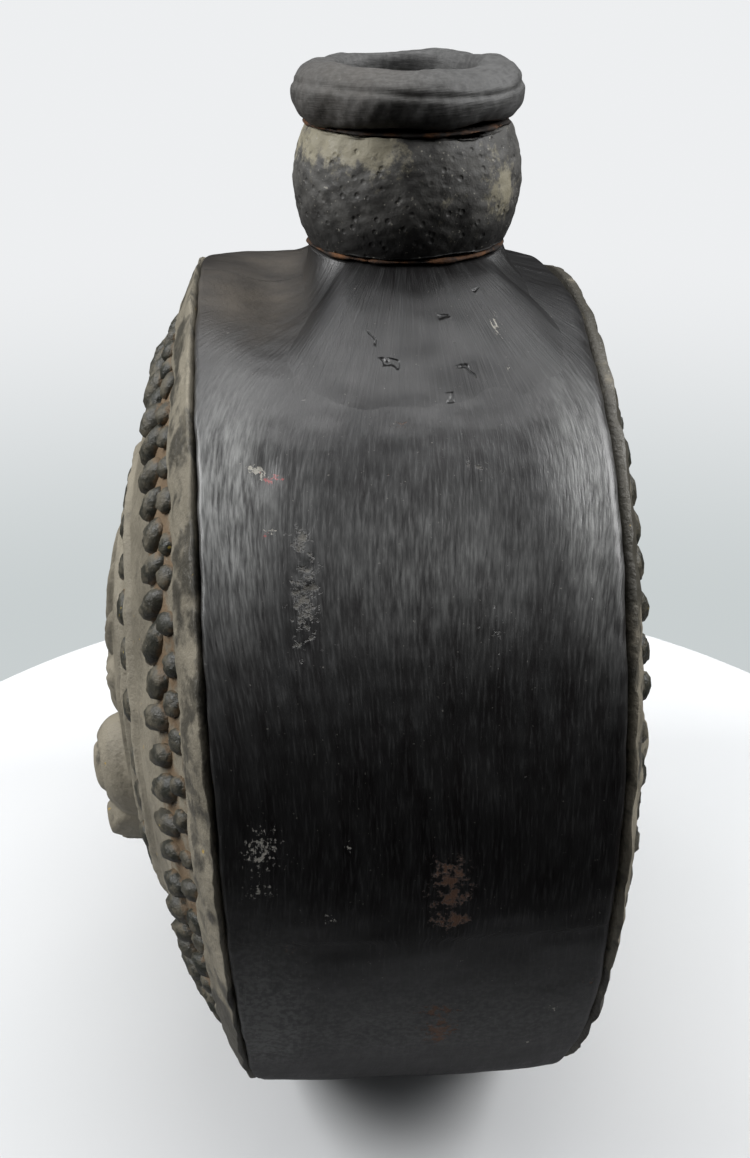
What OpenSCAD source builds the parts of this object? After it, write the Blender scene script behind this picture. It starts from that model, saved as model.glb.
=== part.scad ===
// Pilgrim flask of black burnished clay: a drum that stands on its rubbed edge, closed by two
// pressed, domed faces, with a neck, a bulb and a rolled mouth luted on top.
// Frame: origin on the table under the drum's axis, Z up, X along the drum's axis, Y across.

/* [Drum] */
// Outer radius of the drum
drum_r = 100; // [85:1:125]
// Width of the clay band between the two faces, measured at the drum's axis
band_w = 72; // [56:1:96]
// Wall of the clay band
band_t = 7; // [5:0.5:11]
// Lean of each face, which leaves the band wider at the shoulder than at the foot
face_lean = 2; // [0:0.5:3.5]
// Depth of the flat that is rubbed on the underside so that the flask stands
base_cut = 3; // [1.5:0.5:4]

/* [Faces] */
// Height of the left face's crown above the edge of the band
left_crown = 28; // [20:0.5:34]
// Height of the right face's crown above the edge of the band
right_crown = 17.5; // [14:0.5:30]
// Wall of the pressed faces
disc_t = 6; // [4:0.5:9]
// Thickness of the flat rim by which a face seats on the band
rim_t = 1.2; // [0.8:0.1:2.5]
// Distance from the drum's edge in to the edge of that rim
rim_setback = 0.6; // [0.2:0.1:2]
// Distance from the drum's edge in to the foot of the dome
dome_foot = 6; // [4:0.5:10]

/* [Raised border] */
// Width of the raised border, from the drum's edge to its groove
border_w = 11.5; // [9:0.5:16]
// Height of the border's inner edge above the dome
border_rise = 2.2; // [1:0.1:4]
// Width of the groove between the border and the first row of pellets
groove_w = 1.6; // [0.5:0.1:4]

/* [Rows of pellets] */
// Diameter of a small pellet
small_d = 4.6; // [3:0.1:6.5]
// Height of a small pellet above the dome
small_rise = 2.4; // [1.5:0.1:4]
// Space between two small pellets
small_space = 3.1; // [0.4:0.1:5]
// Length of a large pellet, towards the centre
large_l = 8.2; // [7.6:0.1:12]
// Width of a large pellet, along its row
large_w = 5.4; // [4:0.1:7]
// Height of a large pellet above the dome
large_rise = 3.2; // [2:0.1:5]
// Space between two large pellets on the left face
left_space = 1.6; // [0.4:0.1:5]
// Space between two large pellets on the right face
right_space = 2.8; // [0.4:0.1:6]
// Gap between the two rows
row_gap = 0.4; // [0.2:0.1:3]

/* [Inner ring] */
// Radius of the row of berries, at the middle of the inner ring
berry_row_r = 50.1; // [42:0.1:52]
// Diameter of the cords on both sides of the ring
cord_d = 2.6; // [1.6:0.1:4]
// Space between the two cords
ring_w = 8; // [7:0.5:11]
// Diameter of a berry between the cords
berry_d = 6.6; // [4:0.1:7]
// Height of a berry above the dome
berry_rise = 1.6; // [1:0.1:3]
// Space between two berries
berry_space = 3.9; // [1:0.1:9]

/* [Medallion] */
// Thickness of the raised field inside the ring
field_t = 1.8; // [1:0.1:3]
// Space between the inner cord and the raised field
field_gap = 0.4; // [0.2:0.1:2]
// Number of leaves in the upper fan
fan_count = 7; // [3:2:9]
// Angle from one leaf of the fan to the next
fan_step = 20; // [14:1:22]
// Width of a leaf
leaf_w = 6.4; // [4:0.2:8]
// Height of a leaf above the raised field
leaf_rise = 1.6; // [0.8:0.1:3]
// Radius of the boss at the foot of the fan
heart_r = 13; // [8:0.5:15]
// Height of that boss above the raised field
heart_rise = 4; // [2:0.5:6]
// Space round the boss, to the roots of the leaves
heart_gap = 1; // [0.4:0.2:3]
// Least space between two leaves
leaf_space = 0.4; // [0.2:0.1:2]
// Radius of the first lobe at each side
lobe_a_r = 9; // [6:0.5:10]
// Radius of the second lobe at each side
lobe_b_r = 7.5; // [5:0.5:8.5]
// Radius of the third lobe at each side
lobe_c_r = 7; // [5:0.5:8]
// Height of the lobes above the raised field
lobe_rise = 7; // [3:0.5:9]
// Space between the lobes and the edge of the raised field
lobe_inset = 0.6; // [0.2:0.2:3]

/* [Neck] */
// Distance of the neck's axis from the middle of the band
neck_x = 4.5; // [-6:0.5:6]
// Outer radius of the neck
neck_r = 20.8; // [18.5:0.2:24]
// Radius of the bore of the neck
neck_bore_r = 14.5; // [12:0.5:16]
// Height of the neck above the drum's top
neck_h = 4.4; // [3:0.2:20]
// Reach of the clay blended round the neck, towards the two faces
blend_side = 9; // [6:0.5:20]
// Reach of that clay down the front and the back of the drum
blend_front = 38; // [20:1:50]
// Height of that clay on the neck, above the drum's top
blend_h = 3.8; // [2:0.2:4.2]
// Clearance between the neck and what goes round it
neck_gap = 0.2; // [0.1:0.1:0.5]

/* [Bulb] */
// Height of the bulb
bulb_h = 23.4; // [18:0.2:34]
// Radius of the bulb at its belly
bulb_r = 24; // [22:0.2:28]
// How far the bulb's foot and top lie inside the neck's wall
bulb_step = 0.2; // [0:0.1:1]
// Wall of the bulb
bulb_t = 5.5; // [4:0.5:8]

/* [Mouth] */
// Radius of the bore of the mouth
mouth_r = 14; // [10:0.5:15]
// How far the rolled lip stands out beyond the bulb's belly
lip_overhang = 0.2; // [0:0.1:3]
// Height of the rolled lip
lip_h = 11.4; // [9:0.2:16]
// Distance from the lip's outside in to its highest ring
crest_in = 7.6; // [5:0.2:8]
// Depth of the lip's inner edge below its highest ring
dish_h = 0.9; // [0.4:0.1:3]
// How far the lip's underside lies inside the bulb's top
lip_step = 0.6; // [0.2:0.1:2]

/* [Slip and inner coils] */
// Thickness of the slip that joins two thrown pieces
slip_t = 0.8; // [0.4:0.1:2]
// How far the slip stands out of its joint
slip_proud = 0.5; // [0.2:0.1:1.2]
// Radius of the coil pressed into each inner corner of the drum
coil_r = 6; // [4:0.5:9]

/* [Hidden] */
$fn = 96;

burnished = [0.17, 0.17, 0.175];
sandy = [0.22, 0.21, 0.2];
khaki = [0.36, 0.33, 0.27];
pellet_black = [0.13, 0.14, 0.13];
orange_slip = [0.42, 0.25, 0.15];

LEFT = -1;
RIGHT = 1;
FINE = 192;
DOME_STEPS = 18;
DOME_SPARE = 2;
PELLET_FN = 20;
ARC_STEPS = 14;
big = 4 * drum_r;
axis_z = drum_r - base_cut;
drum_top_z = axis_z + drum_r;
inner_r = drum_r - band_t;
rim_r = drum_r - rim_setback;
foot_r = drum_r - dome_foot;

// Radii on a face, worked inwards from the drum's edge
border_r = drum_r - border_w;
small_row_r = border_r - groove_w - small_d / 2;
large_row_r = small_row_r - small_d / 2 - row_gap - large_l / 2;
outer_cord_r = berry_row_r + ring_w / 2 + cord_d / 2;
inner_cord_r = berry_row_r - ring_w / 2 - cord_d / 2;
field_r = inner_cord_r - cord_d / 2 - field_gap;

// Places of the side lobes: angle from the top of the face, and radius of each
lobes = [[100, lobe_a_r], [124, lobe_b_r], [147, lobe_c_r]];
leaf_tip_gap = 2;
ground_depth = 12;

// Mound of clay round the neck: how far its foot sinks into the drum, and its facets
mound_sink = 0.4;
MOUND_SIDES = 48;
MOUND_RINGS = 8;

// Radii on the neck
bulb_end_r = neck_r - bulb_step;
lip_foot_r = bulb_end_r - lip_step;
lip_r = bulb_r + lip_overhang;
crest_r = lip_r - crest_in;

// Heights on the neck
neck_top_z = drum_top_z + neck_h;
bulb_z = neck_top_z + slip_t;
bulb_top_z = bulb_z + bulb_h;
lip_z = bulb_top_z + slip_t;
lip_top_z = lip_z + lip_h;

// Radius of the sphere that the outside of a face follows, from its crown and its foot
function dome_r(crown) =
    let (rise = crown - rim_t) (foot_r * foot_r + rise * rise) / (2 * rise);

// Height of the outside of a face over the band's edge, at the distance r from the centre
function dome_h(crown, r) =
    crown - dome_r(crown) + sqrt(pow(dome_r(crown), 2) - r * r);

// Slope of the outside of a face, at the distance r from the centre
function dome_slope(crown, r) = asin(r / dome_r(crown));

// Points of an elliptical arc about [cx, cy], from the angle a0 to the angle a1
function arc(cx, cy, rx, ry, a0, a1, steps = ARC_STEPS) =
    [for (i = [0 : steps]) let (a = a0 + (a1 - a0) * i / steps) [cx + rx * cos(a), cy + ry * sin(a)]];

// The frame of a face: its Z points out of the face and its X points up
module on_face(side)
    translate([side * band_w / 2, 0, axis_z])
        rotate([0, side * (90 + face_lean), 0])
            rotate([0, 0, side == RIGHT ? 180 : 0])
                children();

// What lies above the table
module above_table()
    translate([-big / 2, -big / 2, 0])
        cube(big);

// Cylinder along the drum's axis
module drum_cylinder(r)
    translate([0, 0, axis_z])
        rotate([0, 90, 0])
            cylinder(r = r, h = big, center = true, $fn = FINE);

// Everything between the two faces
module between_faces()
    intersection_for (side = [LEFT, RIGHT])
        translate([side * band_w / 2, 0, axis_z])
            rotate([0, side * (90 + face_lean), 0])
                translate([-big / 2, -big / 2, -big])
                    cube(big);

// Half section of a face's outer sphere, thickened by grow, as a run of short cones from its top
module dome_disc(crown, grow = 0) {
    ball_r = dome_r(crown);
    top = 90;
    steepest = dome_slope(crown, drum_r) + DOME_SPARE;
    curve = arc(0, crown - ball_r, ball_r + grow, ball_r + grow, top, top - steepest, DOME_STEPS);
    polygon(concat([[0, curve[DOME_STEPS][1]]], curve));
}

// Ring that lies on the dome between two radii, raised by t
module dome_ring(crown, r0, r1, t)
    rotate_extrude($fn = FINE)
        difference() {
            intersection() {
                dome_disc(crown, t);
                translate([r0, 0])
                    square([r1 - r0, big]);
            }
            dome_disc(crown);
        }

// The dome's clay between two radii, thickened by grow, which what is luted on it is cut to
module dome_ground(crown, r0, r1, grow = 0)
    rotate_extrude($fn = FINE)
        intersection() {
            dome_disc(crown, grow);
            translate([r0, dome_h(crown, r1) - ground_depth])
                square([r1 - r0, big]);
        }

// Places a child on the dome, at the angle a from the top and the distance r from the centre
module on_dome(crown, a, r)
    rotate([0, 0, a])
        translate([r, 0, dome_h(crown, r)])
            rotate([0, dome_slope(crown, r), 0])
                children();

// Clay band of the drum, cut for the neck and rubbed flat underneath
module band_wall()
    color(burnished)
        difference() {
            intersection() {
                drum_cylinder(drum_r);
                between_faces();
                above_table();
            }
            drum_cylinder(inner_r);
            translate([neck_x, 0, axis_z])
                cylinder(r = neck_r + neck_gap, h = big);
        }

// Pressed, domed face with its flat seating rim
module face_disc(side, crown)
    color(khaki)
        intersection() {
            on_face(side)
                difference() {
                    union() {
                        rotate_extrude($fn = FINE)
                            dome_half(crown);
                        cylinder(r = rim_r, h = rim_t, $fn = FINE);
                    }
                    rotate_extrude($fn = FINE)
                        dome_disc(crown, -disc_t);
                }
            above_table();
        }

// Half section of the dome over the band's edge
module dome_half(crown)
    intersection() {
        dome_disc(crown);
        square([drum_r, big]);
    }

module left_disc() face_disc(LEFT, left_crown);
module right_disc() face_disc(RIGHT, right_crown);

// Raised border strip over the joint of face and band
module face_border(side, crown)
    color(khaki)
        intersection() {
            on_face(side)
                rotate_extrude($fn = FINE)
                    difference() {
                        polygon([
                            [border_r, 0],
                            [rim_r, 0],
                            [rim_r, rim_t + rim_setback],
                            [border_r + border_rise / 2, dome_h(crown, border_r) + border_rise],
                            [border_r, dome_h(crown, border_r) + border_rise / 2]
                        ]);
                        dome_disc(crown);
                        square([rim_r, rim_t]);
                    }
            above_table();
        }

module left_border() face_border(LEFT, left_crown);
module right_border() face_border(RIGHT, right_crown);

// Row of pellets, each pressed on by itself with its length towards the centre
module pellet_row(side, crown, r, len, w, rise, space, start)
    color(pellet_black)
        on_face(side) {
            count = floor(2 * PI * r / (w + space));
            for (i = [0 : count - 1])
                on_dome(crown, (i + start) * 360 / count, r)
                    intersection() {
                        translate([0, 0, rise - w / 2])
                            pellet(len, w);
                        translate([-len, -len, 0])
                            cube(2 * len);
                    }
        }

// Rod with round ends, w thick and len long, that lies along X
module pellet(len, w)
    if (len > w)
        rotate([0, 90, 0])
            rotate_extrude($fn = PELLET_FN)
                intersection() {
                    union() {
                        for (end = [-1, 1])
                            translate([0, end * (len - w) / 2])
                                circle(d = w, $fn = PELLET_FN);
                        square([w, len - w], center = true);
                    }
                    translate([0, -len])
                        square([w, 2 * len]);
                }
    else
        sphere(d = w, $fn = PELLET_FN);

module left_small_pellets()
    pellet_row(LEFT, left_crown, small_row_r, small_d, small_d, small_rise, small_space, 0);

module right_small_pellets()
    pellet_row(RIGHT, right_crown, small_row_r, small_d, small_d, small_rise, small_space, 0);

module left_large_pellets()
    pellet_row(LEFT, left_crown, large_row_r, large_l, large_w, large_rise, left_space, 0.5);

module right_large_pellets()
    pellet_row(RIGHT, right_crown, large_row_r, large_l, large_w, large_rise, right_space, 0.5);

// The two cords of the inner ring
module ring_cords(side, crown)
    color(khaki)
        on_face(side)
            rotate_extrude($fn = FINE)
                difference() {
                    for (r = [inner_cord_r, outer_cord_r])
                        translate([r, dome_h(crown, r)])
                            circle(d = cord_d, $fn = 24);
                    dome_disc(crown);
                }

module left_ring_cords() ring_cords(LEFT, left_crown);
module right_ring_cords() ring_cords(RIGHT, right_crown);

// Berries between the cords, each a low round cap
module ring_berries(side, crown)
    color(pellet_black)
        on_face(side) {
            count = floor(2 * PI * berry_row_r / (berry_d + berry_space));
            for (i = [0 : count - 1])
                on_dome(crown, (i + 0.5) * 360 / count, berry_row_r)
                    cap(berry_d / 2, berry_rise, 0);
        }

// Round cap, r in radius where it meets the ground, rise high, with a root in the ground
module cap(r, rise, root)
    intersection() {
        ball_r = (r * r + rise * rise) / (2 * rise);
        translate([0, 0, rise - ball_r])
            sphere(r = ball_r);
        translate([-2 * ball_r, -2 * ball_r, -root])
            cube(4 * ball_r);
    }

module left_ring_berries() ring_berries(LEFT, left_crown);
module right_ring_berries() ring_berries(RIGHT, right_crown);

// Raised field of the medallion, inside the ring
module raised_field(side, crown)
    color(khaki)
        on_face(side)
            dome_ring(crown, 0, field_r, field_t);

module left_field() raised_field(LEFT, left_crown);
module right_field() raised_field(RIGHT, right_crown);

// Fan of leaves that spreads upwards from the boss
module leaf_fan(side, crown)
    color(khaki)
        on_face(side)
            difference() {
                crowded_r = (leaf_w + leaf_space) / 2 / sin(fan_step / 2);
                root_r = max(heart_r + heart_gap + leaf_w / 2, crowded_r);
                tip_r = field_r - leaf_tip_gap - leaf_w / 2;
                middle = (fan_count - 1) / 2;
                for (i = [0 : fan_count - 1])
                    on_dome(crown, (i - middle) * fan_step, (root_r + tip_r) / 2)
                        translate([0, 0, field_t + leaf_rise - leaf_w / 2])
                            pellet(tip_r - root_r + leaf_w, leaf_w);
                dome_ground(crown, 0, field_r + leaf_w, field_t);
            }

module left_fan() leaf_fan(LEFT, left_crown);
module right_fan() leaf_fan(RIGHT, right_crown);

// Boss at the foot of the fan
module heart_boss(side, crown)
    color(khaki)
        on_face(side)
            difference() {
                translate([0, 0, crown + field_t])
                    cap(heart_r, heart_rise, heart_rise);
                dome_ground(crown, 0, field_r + leaf_w, field_t);
            }

module left_heart() heart_boss(LEFT, left_crown);
module right_heart() heart_boss(RIGHT, right_crown);

// Three rounded lobes down each side of the medallion
module side_lobes(side, crown)
    color(khaki)
        on_face(side)
            difference() {
                for (flank = [-1, 1], lobe = lobes)
                    on_dome(crown, flank * lobe[0], field_r - lobe_inset - lobe[1])
                        cap(lobe[1], field_t + lobe_rise, field_t);
                dome_ground(crown, 0, field_r + leaf_w, field_t);
            }

module left_lobes() side_lobes(LEFT, left_crown);
module right_lobes() side_lobes(RIGHT, right_crown);

// Coil of clay pressed into the corner of the band and a face, inside the drum
module inner_coil(side)
    color(orange_slip)
        intersection() {
            on_face(side)
                rotate_extrude($fn = FINE)
                    intersection() {
                        translate([inner_r, 0])
                            circle(r = coil_r, $fn = 48);
                        translate([0, -big])
                            square(big);
                    }
            drum_cylinder(inner_r);
        }

module left_inner_coil() inner_coil(LEFT);
module right_inner_coil() inner_coil(RIGHT);

// Clay blended from the drum up to the neck, thinning out to the band on all sides
module shoulder_blend()
    color(burnished)
        intersection() {
            difference() {
                blend_mound();
                drum_cylinder(drum_r);
                translate([neck_x, 0, axis_z])
                    cylinder(r = neck_r + neck_gap, h = big);
            }
            between_faces();
        }

// Height of the drum's surface at the distance y from its middle plane
function drum_z(y) = axis_z + sqrt(pow(drum_r, 2) - y * y);

// Point of the mound: a turns round the neck, and s runs from the neck at 0 to the mound's foot at 1.
// The clay's thickness falls with the square of the way left, and ends a little inside the drum.
function mound_point(a, s) =
    let (
        reach = 1 / sqrt(pow(cos(a) / blend_side, 2) + pow(sin(a) / blend_front, 2)),
        r = neck_r + reach * s,
        x = r * cos(a),
        y = r * sin(a),
        rise = drum_top_z + blend_h - drum_z(neck_r * sin(a)) + mound_sink
    ) [neck_x + x, y, drum_z(y) + rise * pow(1 - s, 2) - mound_sink];

// Solid under that surface, closed by a straight skirt and a flat bottom inside the drum
module blend_mound() {
    rings = [for (j = [0 : MOUND_RINGS], i = [0 : MOUND_SIDES - 1])
        mound_point(360 * i / MOUND_SIDES, j / MOUND_RINGS)];
    bottom_z = axis_z + drum_r / 4;
    skirt = [for (i = [0 : MOUND_SIDES - 1])
        let (p = mound_point(360 * i / MOUND_SIDES, 1)) [p[0], p[1], bottom_z]];
    top = [[neck_x, 0, drum_top_z + blend_h]];
    last = MOUND_SIDES * (MOUND_RINGS + 2);
    bands = [for (j = [0 : MOUND_RINGS], i = [0 : MOUND_SIDES - 1], half = [0, 1])
        let (
            next = (i + 1) % MOUND_SIDES,
            near = j * MOUND_SIDES,
            far = near + MOUND_SIDES
        ) half == 0 ? [near + i, far + next, far + i] : [near + i, near + next, far + next]];
    crown_faces = [for (i = [0 : MOUND_SIDES - 1]) [last, (i + 1) % MOUND_SIDES, i]];
    bottom_face = [[for (i = [0 : MOUND_SIDES - 1]) (MOUND_RINGS + 1) * MOUND_SIDES + i]];
    polyhedron(concat(rings, skirt, top), concat(bands, crown_faces, bottom_face));
}

// Neck, whose lower end is cut to the inside of the band
module neck_tube()
    color(burnished)
        difference() {
            translate([neck_x, 0, axis_z])
                cylinder(r = neck_r, h = neck_top_z - axis_z);
            translate([neck_x, 0, axis_z])
                cylinder(r = neck_bore_r, h = big);
            drum_cylinder(inner_r);
        }

// Flat ring of slip in a joint
module slip_ring(z, r0, r1)
    color(orange_slip)
        translate([neck_x, 0, z])
            difference() {
                cylinder(r = r1, h = slip_t);
                translate([0, 0, -slip_t])
                    cylinder(r = r0, h = 3 * slip_t);
            }

module neck_slip() slip_ring(neck_top_z, neck_bore_r, bulb_end_r + slip_proud);
module lip_slip() slip_ring(bulb_top_z, mouth_r, lip_foot_r + slip_proud);

// Hollow bulb between the neck and the mouth
module neck_bulb()
    color(sandy)
        translate([neck_x, 0, bulb_z])
            rotate_extrude($fn = FINE)
                polygon(concat(
                    bulb_curve(bulb_end_r, bulb_r, false),
                    bulb_curve(neck_bore_r, bulb_r - bulb_t, true)
                ));

// One side of the bulb's wall: an arc that swells from end_r to belly_r at half height
function bulb_curve(end_r, belly_r, down) =
    let (
        swell = max(belly_r - end_r, 0.2),
        arc_r = (pow(bulb_h / 2, 2) + pow(swell, 2)) / (2 * swell),
        half = asin(bulb_h / 2 / arc_r),
        turn = down ? -half : half
    ) arc(belly_r - arc_r, bulb_h / 2, arc_r, arc_r, -turn, turn);

// Rolled lip round the mouth, with a straight bore for a stopper
module mouth_lip()
    color(burnished)
        translate([neck_x, 0, lip_z])
            rotate_extrude($fn = FINE)
                lip_section();

// Section of the lip: flat where it sits on the bulb, round outside, dished towards the bore
module lip_section() {
    belly_z = lip_h / 2;
    polygon(concat(
        [[mouth_r, 0]],
        arc(lip_foot_r, belly_z, lip_r - lip_foot_r, belly_z, -90, 0),
        arc(crest_r, belly_z, lip_r - crest_r, lip_h - belly_z, 0, 90),
        [[mouth_r, lip_h - dish_h]]
    ));
}

band_wall();
left_disc();
right_disc();
left_border();
right_border();
left_small_pellets();
right_small_pellets();
left_large_pellets();
right_large_pellets();
left_ring_cords();
right_ring_cords();
left_ring_berries();
right_ring_berries();
left_field();
right_field();
left_fan();
right_fan();
left_heart();
right_heart();
left_lobes();
right_lobes();
left_inner_coil();
right_inner_coil();
shoulder_blend();
neck_tube();
neck_slip();
neck_bulb();
lip_slip();
mouth_lip();
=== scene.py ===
"""Pilgrim flask of black burnished clay, dressed round its CAD frame.

Sizes are in millimetres until make_mesh turns them into metres. x runs along the drum's axis, the viewer
stands towards negative y, and the table is at height 0. An angle on the drum is in degrees from its top
towards the viewer. On a face, rho is the distance from its middle and phi the angle from its top.
"""

import math

import bpy
import numpy as np
from mathutils import Matrix, Vector


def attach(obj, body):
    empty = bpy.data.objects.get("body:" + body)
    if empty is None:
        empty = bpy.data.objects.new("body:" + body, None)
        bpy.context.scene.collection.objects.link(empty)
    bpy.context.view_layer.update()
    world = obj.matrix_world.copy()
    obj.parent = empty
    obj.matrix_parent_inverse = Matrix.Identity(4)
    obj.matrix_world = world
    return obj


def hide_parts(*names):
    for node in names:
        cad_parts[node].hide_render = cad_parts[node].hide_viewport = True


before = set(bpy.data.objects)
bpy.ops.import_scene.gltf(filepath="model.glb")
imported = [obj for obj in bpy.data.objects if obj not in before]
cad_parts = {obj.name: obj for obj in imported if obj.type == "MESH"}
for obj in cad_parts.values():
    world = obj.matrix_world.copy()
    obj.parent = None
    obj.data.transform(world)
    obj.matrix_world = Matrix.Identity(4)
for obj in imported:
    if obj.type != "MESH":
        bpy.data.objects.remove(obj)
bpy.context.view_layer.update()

MM = 0.001
TAU = 2 * math.pi

# Drum: radius, half its width, thickness of the band, lean of each face, height of the axis
DRUM_R = 100.0
BAND_HALF = 36.0
BAND_T = 7.0
LEAN = math.radians(2.0)
AXIS_Z = 97.0
MM_PER_DEGREE = math.radians(1) * DRUM_R

# Neck, bulb and lip, which stand on one another with a layer of slip between them
NECK_X = 4.5
NECK_R = 20.8
BORE_R = 14.5
NECK_TOP = 201.4
SLIP_T = 0.8
BULB_Z = NECK_TOP + SLIP_T
BULB_H = 23.4
BULB_R = 24.0
BULB_END_R = 20.8
LIP_Z = BULB_Z + BULB_H + SLIP_T
LIP_H = 11.4
LIP_R = 24.2
MOUTH_R = 14.0

# Faces: thickness, and the radii of what is laid on them, from the rim inwards
DISC_T = 6.0
RIM_R = 99.4
BORDER_R = 88.5
SMALL_ROW_R = 84.6
LARGE_ROW_R = 77.8
OUTER_CORD_R = 55.4
BERRY_ROW_R = 50.1
INNER_CORD_R = 44.8
FIELD_R = 43.1


def lumps(points, size, seed, waves=14):
    """Smooth unevenness, mostly within 1.5 of zero: sine waves in random directions, about size long."""
    rng = np.random.default_rng(seed)
    total = np.zeros(points.shape[:-1])
    for _ in range(waves):
        direction = rng.normal(size=3)
        direction *= TAU / (size * rng.uniform(0.7, 1.6)) / np.linalg.norm(direction)
        total += np.sin(points @ direction + rng.uniform(0, TAU))
    return total / math.sqrt(waves)


def uneven(points, *layers):
    """Sum of lumps of several sizes: each layer is its height, then what lumps takes after the points."""
    return sum(height * lumps(points, *form) for height, *form in layers)


def ripple(angle, *waves):
    """Sum of sine waves round a circle, in radians: each wave is its height, its number and its start."""
    return sum(height * np.sin(number * angle + start) for height, number, start in waves)


def bump(value, centre, width):
    """Bell curve of value round centre, falling to about a third at width."""
    return np.exp(-(((value - centre) / width) ** 2))


def ease(value, low, high):
    """Smooth step from 0 at low to 1 at high."""
    t = np.clip((value - low) / (high - low), 0, 1)
    return t * t * (3 - 2 * t)


def turn_gap(a, b):
    """Signed difference of two angles in degrees, from -180 to 180."""
    return (a - b + 180) % 360 - 180


def full_turn(columns):
    """Angles of the columns round a circle, in radians."""
    return np.linspace(0, TAU, columns, endpoint=False)


def layer(*values):
    """Colour layer of three numbers per point: the values given, then zeros."""
    return np.stack([*values, *[0 * values[0]] * (3 - len(values))], 1)


def add_object(name, data):
    """A new object in the scene."""
    body = bpy.data.objects.new(name, data)
    bpy.context.scene.collection.objects.link(body)
    return body


def add_mesh(name, points, faces, material):
    """A new object of one material in the scene, from points in millimetres and faces."""
    mesh = bpy.data.meshes.new(name)
    mesh.from_pydata((points * MM).tolist(), [], faces)
    mesh.materials.append(material)
    return add_object(name, mesh)


def make_mesh(name, points, faces, material, nodes, marks=None):
    """One piece of the flask, which stands for nodes; marks are named colour layers on its points."""
    piece = add_mesh(name, points, faces, material)
    mesh = piece.data
    for key, values in (marks or {}).items():
        attribute = mesh.attributes.new(key, "FLOAT_COLOR", "POINT")
        rgba = np.ones((len(points), 4))
        rgba[:, :3] = values
        attribute.data.foreach_set("color", rgba.ravel())
    mesh.polygons.foreach_set("use_smooth", np.ones(len(mesh.polygons), bool))
    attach(piece, "root")
    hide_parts(*nodes)


def grid_faces(rows, columns, wrap_rows, keep=None):
    """Quads of a grid whose columns close on themselves, and whose rows do too where wrap_rows is true.
    Where keep is given, a quad stays only if keep is true at its four points."""
    row = np.arange(rows if wrap_rows else rows - 1)[:, None]
    column = np.arange(columns)[None, :]
    here = row * columns
    after = (row + 1) % rows * columns
    beside = (column + 1) % columns
    corners = (here + column, here + beside, after + beside, after + column)
    quads = np.stack(np.broadcast_arrays(*corners), -1).reshape(-1, 4)
    if keep is not None:
        quads = quads[keep[quads].all(axis=1)]
    return quads.tolist()


def outward(points, faces, inside):
    """Faces turned over as one, if on the whole they look towards inside: one point, or one for each."""
    first, second, third = np.array([face[:3] for face in faces]).T
    normals = np.cross(points[second] - points[first], points[third] - points[first])
    away = (points - inside)[first]
    if (away * normals).sum() < 0:
        return [face[::-1] for face in faces]
    return faces


# Form of the drum

# How far the band's skin lies inside the drum's radius, and its edges inside the faces' planes
BAND_SUNK = 0.25
EDGE_SUNK = 0.1

# Radius of the band's left edge, of its right edge, and what the right edge has more at the top
LEFT_ROUND = 0.7
RIGHT_ROUND = 1.8
RIGHT_ROUND_TOP = 1.6

# Hollows in the band: depth, x, reach across, angle, reach along in degrees
SHOULDER_DENT = (4.2, -24, 9, 5, 14)
NICK = (0.8, -26.5, 3.0, 38, 2.0)
SCUFF = (0.35, -19.8, 1.6, 50, 6.5)


def hollow(angle, x, depth, x0, across, at, along):
    """Depth of a hollow in the band: a bell curve across and along."""
    return depth * bump(x, x0, across) * bump(turn_gap(angle, at), 0, along)


def drum_radius(angle, x):
    """Outer radius of the band: the drum's radius, less a crown that grows with the square and the fourth
    power of the way to the edge, less the fall of the right shoulder and the hollows, plus unevenness."""
    a = np.radians(angle)
    points = np.stack([x, -DRUM_R * np.sin(a), DRUM_R * np.cos(a)], -1)
    across = x / BAND_HALF
    crown = (0.45 + 0.7 * (across > 0)) * across**4 + 0.3 * across**2
    right_fall = 2.2 * ease(x, 22, 40) * bump(turn_gap(angle, 0), 0, 22)
    scuff = hollow(angle, x, *SCUFF) * (1 + lumps(points, 2.6, 12))
    hollows = hollow(angle, x, *SHOULDER_DENT) + hollow(angle, x, *NICK) + scuff
    skin = uneven(points, (0.34, 46, 3), (0.16, 17, 4), (0.05, 6, 5))
    return DRUM_R - BAND_SUNK - crown - right_fall - hollows + skin


def edge_x(side, angle):
    """Where the band ends on a side at that angle: the leaning plane of the face, with a ragged line."""
    a = np.radians(angle)
    ragged = ripple(a, (0.21, 3, side), (0.15, 11, 0), (0.096, 29, 2), (0.06, 67, 0))
    plane = BAND_HALF + math.tan(LEAN) * DRUM_R * np.cos(a)
    return side * (plane - EDGE_SUNK) + ragged


def edge_drop(gap, radius):
    """How far a rounded edge falls at a distance from it: a quarter circle, and nothing past its radius."""
    left = np.clip(radius - gap, 0, radius)
    return radius - np.sqrt(np.maximum(radius * radius - left * left, 0))


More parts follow.
